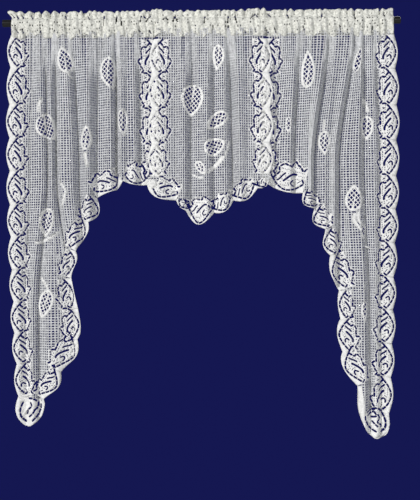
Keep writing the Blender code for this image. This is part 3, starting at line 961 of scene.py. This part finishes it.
def yarn(name, colour, roughness, sheen, mottle, relief, stitch, shade):
    """Soft matt yarn with fine uneven stitches.

    mottle and stitch are texture scales, relief is the strength of the stitches' bump, and shade is how
    bright the darker mottles are, as a share of the colour.
    """
    values = {"Roughness": roughness, "Sheen Weight": sheen, "Sheen Roughness": 0.5}
    made, tree, shader = new_material(name, values)
    link = tree.links.new
    dark = tuple(c * shade for c in colour) + (1.0,)
    place = new_node(tree, "ShaderNodeTexCoord", {})
    noise = new_node(tree, "ShaderNodeTexNoise", {"Scale": mottle, "Detail": 3.0})
    stitches = new_node(tree, "ShaderNodeTexVoronoi", {"Scale": stitch})
    spread = new_node(tree, "ShaderNodeMapRange", {"From Min": 0.36, "From Max": 0.62})
    ramp = new_node(tree, "ShaderNodeMixRGB", {"Color1": dark, "Color2": colour + (1.0,)})
    bump = new_node(tree, "ShaderNodeBump", {"Strength": relief, "Distance": 0.0006})
    link(place.outputs["Object"], noise.inputs["Vector"])
    link(place.outputs["Object"], stitches.inputs["Vector"])
    link(noise.outputs["Fac"], spread.inputs["Value"])
    link(spread.outputs["Result"], ramp.inputs["Fac"])
    link(ramp.outputs["Color"], shader.inputs["Base Color"])
    link(stitches.outputs["Distance"], bump.inputs["Height"])
    link(bump.outputs["Normal"], shader.inputs["Normal"])
    return made


def satin_paint():
    """Black paint with a slightly uneven gloss."""
    values = {"Base Color": (0.006, 0.006, 0.007, 1.0), "Specular IOR Level": 0.35}
    made, tree, shader = new_material("satin_black_paint", values)
    link = tree.links.new
    place = new_node(tree, "ShaderNodeTexCoord", {})
    noise = new_node(tree, "ShaderNodeTexNoise", {"Scale": 260.0})
    spread = new_node(tree, "ShaderNodeMapRange", {"To Min": 0.28, "To Max": 0.42})
    link(place.outputs["Object"], noise.inputs["Vector"])
    link(noise.outputs["Fac"], spread.inputs["Value"])
    link(spread.outputs["Result"], shader.inputs["Roughness"])
    return made


# The cloths

WORK_LOOK = dict(roughness=0.8, sheen=0.2, mottle=160.0, relief=0.5, stitch=900.0, shade=0.84)
doubled = yarn("white_yarn", (0.96, 0.96, 0.95), **WORK_LOOK)
single = yarn("swag_white_yarn", (0.9, 0.9, 0.895), **WORK_LOOK)
thin = yarn(
    "thin_net_yarn", (0.73, 0.74, 0.76),
    roughness=0.85, sheen=0.1, mottle=120.0, relief=0.5, stitch=900.0, shade=0.8,
)
ivory = yarn(
    "ivory_yarn", (0.9, 0.9, 0.835),
    roughness=0.85, sheen=0.2, mottle=230.0, relief=0.8, stitch=700.0, shade=0.62,
)

# plane is the depth of a cloth's middle plane at the rod, at the foot of the swag and in the tail. upward is
# true where the lower edge is listed from the tail's tip up, ends is where the gathered heading ends, and
# flare is how far its top left corner leans out.
Cloth = namedtuple("Cloth", "name folds plane pinches top left low right upward leaves stems ends flare work")
CLOTHS = [
    Cloth(
        "left_swag", LEFT_FOLDS, (4.0, 2.0, 0.0), LEFT_PINCHES, LEFT_TOP, LEFT_OUTER_EDGE,
        LEFT_LOWER_EDGE, LEFT_INNER_EDGE, True, LEFT_LEAVES, LEFT_STEMS, (22.0, 344.0), 10.0, single,
    ),
    Cloth(
        "right_swag", RIGHT_FOLDS, (4.0, 2.0, 0.0), RIGHT_PINCHES, RIGHT_TOP, RIGHT_INNER_EDGE,
        RIGHT_LOWER_EDGE, RIGHT_OUTER_EDGE, False, RIGHT_LEAVES, RIGHT_STEMS, (591.5, 878.0), 0.0, single,
    ),
    Cloth(
        "centre_insert", INSERT_FOLDS, (9.0, 8.0, 8.0), INSERT_PINCHES, INSERT_TOP, INSERT_LEFT_EDGE,
        INSERT_LOWER_EDGE, INSERT_RIGHT_EDGE, False, INSERT_LEAVES, INSERT_STEMS, (341.5, 593.5), 0.0,
        doubled,
    ),
]
dark_strokes = [ribbon(line, *STROKE_WIDTHS) for line in HEADING_STROKES]
for cloth in CLOTHS:
    surface = Hanging(cloth.folds, cloth.plane, cloth.pinches)
    left, right = edge_units(cloth.left, 1.0), edge_units(cloth.right, -1.0)
    low = lower_units(cloth.left[-1], cloth.low, cloth.upward)
    outline = cloth.top[0] + chain(left) + chain(low)[1:] + chain(right)[-2::-1] + cloth.top[1]
    solids, holes = border_work(left + low + right)
    if cloth.name in TIPS:
        tip, tip_slits = TIPS[cloth.name]
        solids.append(turned_left(tip))
        for width, line in tip_slits:
            holes += dashed(rounded(line), width, TIP_DASH)
    blocked = list(solids)
    threads = []
    for leaf in cloth.leaves:
        outer, opening, lattice = leaf_work(*leaf)
        solids.append(outer)
        blocked.append(outer)
        holes.append(opening)
        threads += lattice
    for width, end_width, line in cloth.stems:
        stem = ribbon(rounded(line), width, end_width)
        threads.append(stem)
        blocked.append(stem)
    parts = [
        solid_work(surface, outline, solids, holes, threads),
        net_work(surface, outline, blocked, cloth.ends),
        heading_work(cloth.name, surface, cloth.ends, cloth.flare, dark_strokes),
    ]
    points, faces, first = [], [], 0
    for made, part_faces in parts:
        points.append(made)
        faces += [[i + first for i in face] for face in part_faces]
        first += len(made)
    mesh = bpy.data.meshes.new(cloth.name + "_cloth")
    mesh.from_pydata((np.concatenate(points) * MM).tolist(), [], faces)
    mesh.shade_smooth()
    for of_part in (cloth.work, thin, ivory):
        mesh.materials.append(of_part)
    numbers = [number for number, (made, part_faces) in enumerate(parts) for face in part_faces]
    mesh.polygons.foreach_set("material_index", numbers)
    piece = bpy.data.objects.new(cloth.name + "_cloth", mesh)
    bpy.context.scene.collection.objects.link(piece)
    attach(piece, "root")
    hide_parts(cloth.name)
    width, length, area = FLAT_SIZES[cloth.name]

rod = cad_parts["rod"]
rod.data.materials.clear()
rod.data.materials.append(satin_paint())

# Floor, light and camera

FLOOR_PLACE = (0.4475, -1.1, -1.35)  # under the tails, outside the photo's frame
FLOOR_SCALE = (4.0, 2.8, 1.0)
STUDIO = {"Color": (0.92, 0.95, 1.0, 1.0), "Strength": 0.16}
BACKDROP = {"Color": (0.0075, 0.009, 0.082, 1.0), "Strength": 1.0}
CAMERA_PLACE = (0.462, -2.655, -0.5135)
PHOTO_LEAN = -0.513  # degrees

bpy.ops.mesh.primitive_plane_add(size=1.0, location=FLOOR_PLACE)
floor = bpy.context.object
floor.name = "floor"
floor.scale = FLOOR_SCALE
pale, _, _ = new_material("pale_floor", {"Base Color": (0.78, 0.77, 0.75, 1.0), "Roughness": 0.9})
floor.data.materials.append(pale)
floor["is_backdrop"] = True


def area_light(name, place, target, size, power, colour):
    """A round soft light that points at the target."""
    data = bpy.data.lights.new(name, "AREA")
    data.shape = "DISK"
    data.size = size
    data.energy = power
    data.color = colour
    lamp = bpy.data.objects.new(name, data)
    lamp.location = place
    lamp.rotation_mode = "QUATERNION"
    lamp.rotation_quaternion = (Vector(target) - Vector(place)).to_track_quat("-Z", "Y")
    bpy.context.scene.collection.objects.link(lamp)


area_light("key_light", (-5.05, -7.4, 2.6), (0.45, 0.0, -0.4), 1.2, 700.0, (1.0, 0.99, 0.97))
area_light("fill_light", (1.9, -2.8, 0.4), (0.45, 0.0, -0.5), 1.6, 20.0, (0.95, 0.97, 1.0))
area_light("back_light", (1.6, 3.4, 1.2), (0.45, 0.0, -0.4), 1.6, 70.0, (1.0, 0.99, 0.98))

# The camera sees the photo's blue behind the drape, and the light comes from a pale studio.
world = bpy.data.worlds.new("studio")
bpy.context.scene.world = world
world.use_nodes = True
tree = world.node_tree
link = tree.links.new
lit = set_inputs(tree.nodes["Background"], STUDIO)
seen = new_node(tree, "ShaderNodeBackground", BACKDROP)
rays = new_node(tree, "ShaderNodeLightPath", {})
either = new_node(tree, "ShaderNodeMixShader", {})
link(rays.outputs["Is Camera Ray"], either.inputs["Fac"])
link(lit.outputs["Background"], either.inputs[1])
link(seen.outputs["Background"], either.inputs[2])
link(either.outputs["Shader"], tree.nodes["World Output"].inputs["Surface"])

# The camera looks straight at the drape, with the photo's small lean.
camera_data = bpy.data.cameras.new("camera")
camera_data.lens = 85.0
camera_data.sensor_width = 36.0
camera = bpy.data.objects.new("camera", camera_data)
bpy.context.scene.collection.objects.link(camera)
camera.matrix_world = (
    Matrix.Translation(CAMERA_PLACE)
    @ Matrix.Rotation(math.radians(90.0), 4, "X")
    @ Matrix.Rotation(math.radians(PHOTO_LEAN), 4, "Z")
)
bpy.context.scene.camera = camera
bpy.context.scene.view_settings.view_transform = "Standard"

bpy.context.view_layer.update()
low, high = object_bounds()
